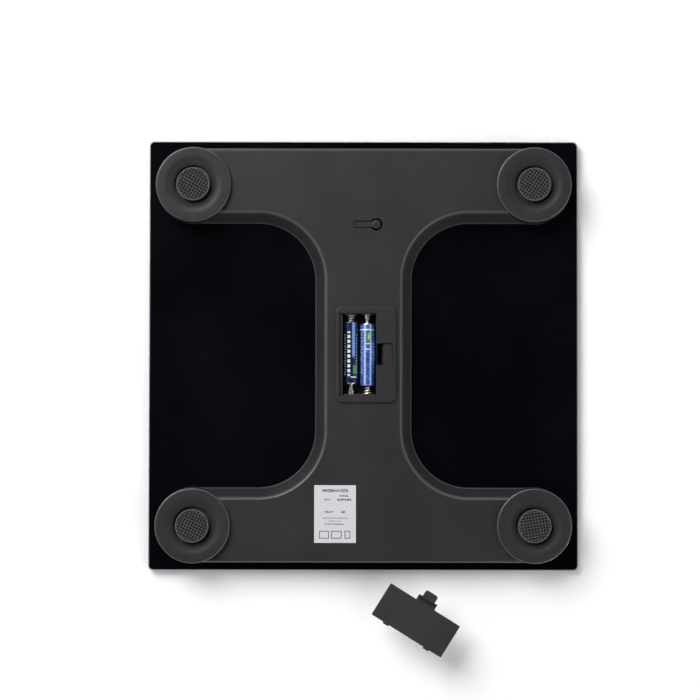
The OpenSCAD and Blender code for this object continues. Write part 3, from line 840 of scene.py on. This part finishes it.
def softened_copy(node: str, name: str, smooth_to: float = 34.0) -> bpy.types.Object:
    """A merged copy of a CAD node, shaded smooth across its rounded edges.

    Args:
        node: the CAD node.
        name: the new piece's name.
        smooth_to: edges up to this many degrees are shaded smooth.

    Returns:
        The new object.
    """
    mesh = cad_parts[node].data.copy()
    mesh.name = name
    work = bmesh.new()
    work.from_mesh(mesh)
    bmesh.ops.remove_doubles(work, verts=work.verts, dist=2e-6)
    work.to_mesh(mesh)
    work.free()
    if "custom_normal" in mesh.attributes:
        mesh.attributes.remove(mesh.attributes["custom_normal"])
    mesh.shade_smooth()
    mesh.set_sharp_from_angle(angle=math.radians(smooth_to))
    piece = bpy.data.objects.new(name, mesh)
    bpy.context.scene.collection.objects.link(piece)
    even = piece.modifiers.new("even shading", "WEIGHTED_NORMAL")
    even.keep_sharp = True
    even.weight = 100
    return piece


# ---------------------------------------------------------------- sub-assemblies

@dataclass
class Finishes:
    """All materials, made once and shared."""

    made: dict[str, bpy.types.Material] = field(default_factory=dict)

    def get(self, finish: object) -> bpy.types.Material:
        """The material of a finish, built at its first use."""
        if finish.name not in self.made:
            self.made[finish.name] = finish.make()
        return self.made[finish.name]


CHARCOAL_COLOUR = (0.0140, 0.0140, 0.0152)
CHARCOAL = MouldedPlastic("charcoal moulding", CHARCOAL_COLOUR)
COVER_GREY = MouldedPlastic("charcoal cover moulding", (0.0215, 0.0205, 0.0245), roughness=0.5)
INNER_GREY = MouldedPlastic("inner moulding", (0.018, 0.018, 0.019), dust=0.0)


@dataclass
class GlassStack:
    """The platform: glass, print and tape, all as their CAD nodes."""

    def build(self, finishes: Finishes) -> None:
        """Dresses the three nodes."""
        dress("glass_platform", finishes.get(PlateGlass("clear plate glass")))
        dress("back_print", finishes.get(ScreenPrint("black glass print", (0.0009, 0.0011, 0.0021), 0.2)))
        dress("adhesive_tape", finishes.get(ScreenPrint("black tape", (0.012, 0.012, 0.013), 0.6)))


@dataclass
class Housing:
    """The moulded H-shaped base, with its battery bay and key opening."""

    def build(self, finishes: Finishes) -> None:
        """Makes the softened copy of the moulding."""
        piece = softened_copy("base_housing", "housing_moulding")
        low, high = (np.array(corner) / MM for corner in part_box("rating_label"))
        middle, half = (low + high) / 2, (high - low) / 2
        # The base moulding's finish has a painted highlight along its edges and painted shade in the bay, the
        # latch slot and round the label and the key.
        grey = HousingPlastic("charcoal base moulding", CHARCOAL_COLOUR,
                              label_middle=(middle[0], middle[1]), label_half=(half[0], half[1]))
        Placing("base", "housing_charcoal", ["base_housing"]).apply(piece, finishes.get(grey))


@dataclass
class Foot:
    """One foot: dished ring, plunger and crosshatched rubber pad."""

    corner: str
    hatch_turn: float
    ring_inner: float = 13.0
    pad_radius: float = 11.65
    hatch_radius: float = 10.5
    hatch_pitch: float = 2.1
    ridge_half: float = 0.15
    ridge_slope: float = 0.24
    pit_depth: float = 0.65
    segments: int = 320

    def middle(self) -> np.ndarray:
        """The foot's centre on the floor."""
        return box_middle("pad_" + self.corner) * np.array([1, 1, 0])

    def ring_outer(self) -> float:
        """The ring's outer radius in millimetres."""
        low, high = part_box("foot_ring_" + self.corner)
        return (high.x - low.x) / 2 / MM

    def ring_points(self) -> np.ndarray:
        """The ring: its rounded rim, the flat land, the shallow dish and the inner lip, turned."""
        inner, outer = self.ring_inner, self.ring_outer()
        corners = [(inner, 5.0, 0.0), (inner, 3.45, 0.3), (16.2, 3.2, 1.4), (19.2, 2.6, 1.5),
                   (outer - 0.75, 2.6, 0.6), (outer - 0.02, 3.1, 0.35), (outer, 4.6, 0.12),
                   (24.4, 4.6, 0.0), (24.4, 9.0, 0.0), (22.4, 9.0, 0.0), (22.4, 5.0, 0.0)]
        line = rounded([(a * MM, b * MM, c * MM) for a, b, c in corners], 6, True)
        return turned(line, self.segments)

    def pad_points(self) -> np.ndarray:
        """The pad: a closed turned form whose lower face carries the hatch.

        Over the hatched disc two sets of thin ridges cross, one pitch apart. A point is lifted by
        the pit's depth where both its turned x and its turned y are away from a ridge, and the
        pits have sloping sides.
        """
        edge = self.pad_radius
        inner = np.linspace(0.02, self.hatch_radius, 108)
        land = rounded([(self.hatch_radius, 0.0, 0.0), (self.hatch_radius + 0.12, 0.16, 0.05),
                        (self.hatch_radius + 0.3, 0.0, 0.1), (edge - 0.02, 0.02, 0.5),
                        (edge, 1.4, 0.3), (edge, 2.6, 0.12), (0.02, 2.6, 0.0)], 5, False)
        profile = [(r, 0.0) for r in inner] + land[1:]
        points = turned([(r * MM, z * MM) for r, z in profile], self.segments)
        flat = points[:len(inner), :, :2] / MM
        c, s = math.cos(self.hatch_turn), math.sin(self.hatch_turn)
        lift = np.ones(flat.shape[:2])
        for axis in (flat @ np.array([c, s]), flat @ np.array([-s, c])):
            away = np.abs((axis / self.hatch_pitch) % 1.0 - 0.5) * self.hatch_pitch
            lift = np.minimum(lift, np.clip((away - self.ridge_half) / self.ridge_slope, 0, 1))
        points[:len(inner), :, 2] = lift * self.pit_depth * MM
        return points

    def build(self, finishes: Finishes) -> None:
        """Makes the ring and the pad, and dresses the plunger."""
        ring = surface("foot_dish_" + self.corner, self.ring_points() + self.middle(), True, True)
        middle = self.middle() / MM
        # The ring's finish has a painted highlight on its rim and painted shade in its dish.
        ring_with_painted_light = RingPlastic("ring moulding " + self.corner, CHARCOAL_COLOUR, centre=(middle[0], middle[1]),
                              edge_radius=self.ring_outer())
        Placing("base", "housing_charcoal", ["foot_ring_" + self.corner]).apply(ring, finishes.get(ring_with_painted_light))
        pad = surface("foot_tread_" + self.corner, self.pad_points() + self.middle(), False, True, True)
        rubber = Rubber("tread rubber", (0.009, 0.009, 0.010), (0.105, 0.105, 0.108))
        Placing("foot_" + self.corner, "pad_rubber", ["pad_" + self.corner]).apply(pad, finishes.get(rubber))
        dress("plunger_" + self.corner, finishes.get(INNER_GREY))


@dataclass
class Battery:
    """One AAA cell: the steel can with its nub, and the printed sleeve shrunk round it."""

    side: str
    toward_nub: int
    design: SleevePrint
    segments: int = 96
    can_radius: float = 5.1
    nub_radius: float = 1.9
    nub_length: float = 1.0
    sleeve_gap: float = 0.02

    def _laid(self, points: np.ndarray) -> np.ndarray:
        """Lays a form turned round the vertical along Y, its top towards the nub, at the cell."""
        middle = box_middle("battery_" + self.side)
        x, y, z = points[..., 0], points[..., 1], points[..., 2]
        return np.stack([x * self.toward_nub, z * self.toward_nub, y], -1) + middle

    def can_points(self) -> np.ndarray:
        """The can: base with a pressed ring, straight wall, rolled crimp, shoulder and nub."""
        low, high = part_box("battery_" + self.side)
        half = (high.y - low.y) / 2 / MM
        r, top = self.can_radius, half - self.nub_length
        nub = self.nub_radius
        line = rounded([(0.01, -half + 0.35, 0), (3.2, -half + 0.35, 0.4), (3.7, -half, 0.3),
                        (r - 0.35, -half, 0.3), (r, -half + 0.5, 0.3), (r, top - 1.5, 0.3),
                        (r - 0.5, top - 0.9, 0.4), (r - 0.7, top - 0.2, 0.3), (r - 1.5, top - 0.05, 0.3),
                        (nub + 0.9, top - 0.2, 0.3), (nub, top, 0.3), (nub, half - 0.35, 0.2),
                        (nub - 0.4, half, 0.3), (0.01, half, 0)], 5, False)
        return turned([(a * MM, b * MM) for a, b in line], self.segments)

    def sleeve_points(self) -> np.ndarray:
        """The sleeve: a thin tube with rolled lips that turn in over both ends of the can."""
        low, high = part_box("battery_sleeve_" + self.side)
        can_low, can_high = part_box("battery_" + self.side)
        middle = (can_low.y + can_high.y) / 2
        a, b = (low.y - middle) / MM * self.toward_nub, (high.y - middle) / MM * self.toward_nub
        lo, hi = min(a, b), max(a, b)
        out, inn = (high.z - low.z) / 2 / MM, self.can_radius + self.sleeve_gap
        line = rounded([(inn, lo + 0.05, 0), (out - 0.02, lo, 0.1), (out, lo + 0.6, 0.3),
                        (out, hi - 0.6, 0.3), (out - 0.02, hi, 0.1), (inn, hi - 0.05, 0)], 5, True)
        return turned([(p * MM, q * MM) for p, q in line], self.segments)

    def build(self, finishes: Finishes) -> None:
        """Makes the can and the sleeve."""
        body = "cell_" + self.side
        can = surface("cell_can_" + self.side, self._laid(self.can_points()), False, True, True)
        steel = BareMetal("plated can steel", (0.78, 0.78, 0.76), (0.5, 0.49, 0.46), 0.24)
        Placing(body, "can_steel", ["battery_" + self.side]).apply(can, finishes.get(steel))
        sleeve = surface("cell_sleeve_" + self.side, self._laid(self.sleeve_points()), True, True)
        middle = box_middle("battery_" + self.side) / MM
        print_on = BatterySleeve(f"battery sleeve {self.side}", (middle[0], middle[2]), self.design,
                                 self.toward_nub, middle[1])
        Placing(body, "sleeve_print", ["battery_sleeve_" + self.side]).apply(sleeve, finishes.get(print_on))


@dataclass
class Contacts:
    """Plated contact plates with their springs and nubs."""

    nodes: Sequence[str] = ("bridge_contact", "positive_contact", "negative_contact")

    def build(self, finishes: Finishes) -> None:
        """Dresses the contacts."""
        plated = BareMetal("nickel plating", (0.72, 0.7, 0.66), (0.5, 0.47, 0.42), 0.26, (1, 1, 1))
        for node in self.nodes:
            dress(node, finishes.get(plated))


@dataclass
class Cover:
    """The loose battery cover with its sprung latch."""

    def build(self, finishes: Finishes) -> None:
        """Makes softened copies of both mouldings."""
        plate = softened_copy("battery_cover", "cover_plate")
        Placing("cover", "housing_charcoal", ["battery_cover"]).apply(plate, finishes.get(COVER_GREY))
        latch = softened_copy("cover_latch", "cover_latch_tab")
        Placing("latch", "housing_charcoal", ["cover_latch"]).apply(latch, finishes.get(COVER_GREY))


@dataclass
class UnitKey:
    """The flexing key and the switch behind it."""

    def build(self, finishes: Finishes) -> None:
        """Makes the key, and dresses the switch."""
        key = softened_copy("unit_key", "unit_key_arm")
        Placing("key", "housing_charcoal", ["unit_key"]).apply(key, finishes.get(CHARCOAL))
        dress("switch_body", finishes.get(INNER_GREY))
        red = SmallPart("red switch moulding", (0.4, 0.03, 0.03), (0.3, 0.02, 0.02))
        dress("switch_plunger", finishes.get(red))


@dataclass
class RatingLabel:
    """The white data label."""

    def build(self, finishes: Finishes) -> None:
        """Dresses the label."""
        middle = box_middle("rating_label") / MM
        dress("rating_label", finishes.get(RatingPaper("rating label paper", (middle[0], middle[1]))))


@dataclass
class Electronics:
    """Board, display, load cells and wiring, inside the housing."""

    def build(self, finishes: Finishes) -> None:
        """Dresses every inner node."""
        steel = BareMetal("rolled cell steel", (0.6, 0.6, 0.6), (0.42, 0.42, 0.42), 0.36)
        sheath = SmallPart("grey lead sheath", (0.5, 0.5, 0.5), (0.42, 0.42, 0.43))
        for corner in CORNERS:
            dress("load_cell_" + corner, finishes.get(steel))
            dress("lead_" + corner, finishes.get(sheath))
        middle = box_middle("display_panel") / MM
        inner: dict[str, object] = {
            "strain_gauges": SmallPart("gauge sealant", (0.8, 0.79, 0.74), (0.7, 0.69, 0.63)),
            "main_board": SolderMask("board lacquer"),
            "board_screws": BareMetal("screw steel", (0.62, 0.62, 0.64), (0.4, 0.4, 0.42)),
            "chip_cover": SmallPart("chip epoxy", (0.01, 0.01, 0.011), (0.02, 0.02, 0.021), 0.25),
            "board_components": SmallPart("component bodies", (0.5, 0.4, 0.26), (0.36, 0.28, 0.18)),
            "display_panel": LiquidCrystal("liquid crystal glass", (middle[0], middle[1])),
            "display_frame": INNER_GREY,
            "elastomer_strips": SmallPart("pink elastomer", (0.6, 0.3, 0.34), (0.5, 0.24, 0.28), 0.6),
            "battery_lead_red": SmallPart("red lead sheath", (0.45, 0.02, 0.02), (0.36, 0.015, 0.015)),
            "battery_lead_black": SmallPart("black lead sheath", (0.015, 0.015, 0.016),
                                            (0.025, 0.025, 0.026)),
        }
        for node, finish in inner.items():
            dress(node, finishes.get(finish))


def dress(node: str, material: bpy.types.Material) -> None:
    """Gives a CAD node its material in every slot.

    Args:
        node: the CAD node's name.
        material: the finish.
    """
    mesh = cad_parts[node].data
    if not mesh.materials:
        mesh.materials.append(material)
    for i in range(len(mesh.materials)):
        mesh.materials[i] = material
    LOG.info("dressed %s in %s", node, material.name)


# ---------------------------------------------------------------- studio

@dataclass
class Studio:
    """Camera, lights, world, and the two one-sided pale surfaces."""

    distance: float = 1.8
    tilt_deg: float = 1.9
    roll_deg: float = 0.09
    focal_mm: float = 132.3
    aim: tuple[float, float, float] = (0.00938, 0.00385, 0.019)
    backdrop_gap: float = 0.0004

    def _plane(self, name: str, height: float, up: bool, reach: float, colour: Colour) -> bpy.types.Object:
        """A square surface that faces up or down.

        Args:
            name: its name.
            height: its level in metres.
            up: True to face up, False to face down.
            reach: half its side in metres.
            colour: its matt colour.

        Returns:
            The staged object.
        """
        ends = np.array([-reach, reach])
        x, y = np.meshgrid(ends if up else -ends, ends, indexing="xy")
        verts = np.stack([x, y, np.full_like(x, height)], -1).reshape(-1, 3)
        mesh = bpy.data.meshes.new(name)
        mesh.from_pydata(verts.tolist(), [], [(0, 1, 3, 2)])
        mesh.materials.append(StudioSurface(name + " paint", colour).make())
        plane = bpy.data.objects.new(name, mesh)
        bpy.context.scene.collection.objects.link(plane)
        plane.visible_shadow = plane.visible_diffuse = plane.visible_glossy = False
        plane.visible_transmission = not up
        plane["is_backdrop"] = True
        return plane

    def _lamp(self, name: str, place: Sequence[float], size: float, watts: float,
              colour: Colour = (1.0, 1.0, 1.0)) -> None:
        """A square area lamp aimed at the object.

        Args:
            name: its name.
            place: where it hangs, in metres.
            size: its side in metres.
            watts: its power.
            colour: its colour.
        """
        data = bpy.data.lights.new(name, "AREA")
        data.size, data.energy, data.color = size, watts, colour
        lamp = bpy.data.objects.new(name, data)
        lamp.location = place
        lamp.rotation_mode = "QUATERNION"
        lamp.rotation_quaternion = (Vector((0, 0, 0.01)) - Vector(place)).to_track_quat("-Z", "Y")
        lamp.visible_camera = False
        bpy.context.scene.collection.objects.link(lamp)

    def camera(self) -> None:
        """Looks up at the underside, from slightly towards the rear, with the display end on top."""
        data = bpy.data.cameras.new("camera")
        data.lens, data.sensor_width = self.focal_mm, 36.0
        data.clip_start, data.clip_end = 0.05, 30.0
        camera = bpy.data.objects.new("camera", data)
        t = math.radians(self.tilt_deg)
        forward = Vector((0, math.sin(t), math.cos(t)))
        up = Vector((0, math.cos(t), -math.sin(t)))
        roll = Matrix.Rotation(math.radians(-self.roll_deg), 3, forward)
        up = roll @ up
        turn = Matrix((forward.cross(up), up, -forward)).transposed()
        camera.rotation_mode = "QUATERNION"
        camera.rotation_quaternion = turn.to_quaternion()
        camera.location = Vector(self.aim) - forward * self.distance
        bpy.context.scene.collection.objects.link(camera)
        bpy.context.scene.camera = camera

    def world(self) -> None:
        """Pale above the horizon and dim below it, so the glass print reflects little from below."""
        world = bpy.data.worlds.new("studio air")
        bpy.context.scene.world = world
        world.use_nodes = True
        tree = world.node_tree
        tree.nodes.clear()
        coords = tree.nodes.new("ShaderNodeTexCoord")
        parts = tree.nodes.new("ShaderNodeSeparateXYZ")
        ramp = tree.nodes.new("ShaderNodeMapRange")
        mix = tree.nodes.new("ShaderNodeMix")
        back = tree.nodes.new("ShaderNodeBackground")
        out = tree.nodes.new("ShaderNodeOutputWorld")
        mix.data_type = "RGBA"
        ramp.interpolation_type = "SMOOTHSTEP"
        ramp.inputs["From Min"].default_value = -0.82
        ramp.inputs["From Max"].default_value = -0.4
        mix.inputs[6].default_value = (0.03, 0.03, 0.033, 1)
        mix.inputs[7].default_value = (0.86, 0.87, 0.88, 1)
        tree.links.new(coords.outputs["Generated"], parts.inputs[0])
        tree.links.new(parts.outputs[2], ramp.inputs[0])
        tree.links.new(ramp.outputs[0], mix.inputs[0])
        tree.links.new(mix.outputs[2], back.inputs[0])
        tree.links.new(back.outputs[0], out.inputs[0])

    def build(self) -> None:
        """Sets up everything round the object."""
        low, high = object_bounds()
        self._plane("studio_floor", low.z - self.backdrop_gap, True, 12.0, (0.8, 0.8, 0.8))
        self._plane("studio_backdrop", high.z + self.backdrop_gap, False, 2.0, (0.98, 0.98, 0.98))
        self._lamp("key lamp below", (0.95, 1.15, -1.5), 1.35, 47.0)
        self._lamp("fill lamp below", (-1.4, -1.0, -1.6), 1.6, 14.0, (0.98, 0.99, 1.0))
        self._lamp("key lamp above", (-1.3, -1.2, 1.9), 1.2, 44.0)
        self._lamp("rim lamp above", (1.6, 1.4, 1.3), 1.4, 22.0)
        self.camera()
        self.world()
        view = bpy.context.scene.view_settings
        view.view_transform, view.look = "Standard", "None"


def main() -> None:
    """Builds the studio and every sub-assembly in order."""
    logging.basicConfig(level=logging.INFO, format="%(name)s: %(message)s")
    cad_box = [v.copy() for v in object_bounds()]
    finishes = Finishes()
    Studio().build()
    turns = (("front_left", 0.6), ("front_right", 0.52), ("rear_left", 1.4), ("rear_right", 0.45))
    parts: list[object] = [GlassStack(), Housing()]
    parts += [Foot(corner, turn) for corner, turn in turns]
    parts += [Battery("left", 1, SleevePrint.LIGHT_SIDE_OUT), Battery("right", -1, SleevePrint.DARK_SIDE_OUT),
              Contacts(), Cover(), UnitKey(), RatingLabel(), Electronics()]
    for part in parts:
        part.build(finishes)
        LOG.info("finished %s", type(part).__name__)


if __name__ == "__main__":
    main()
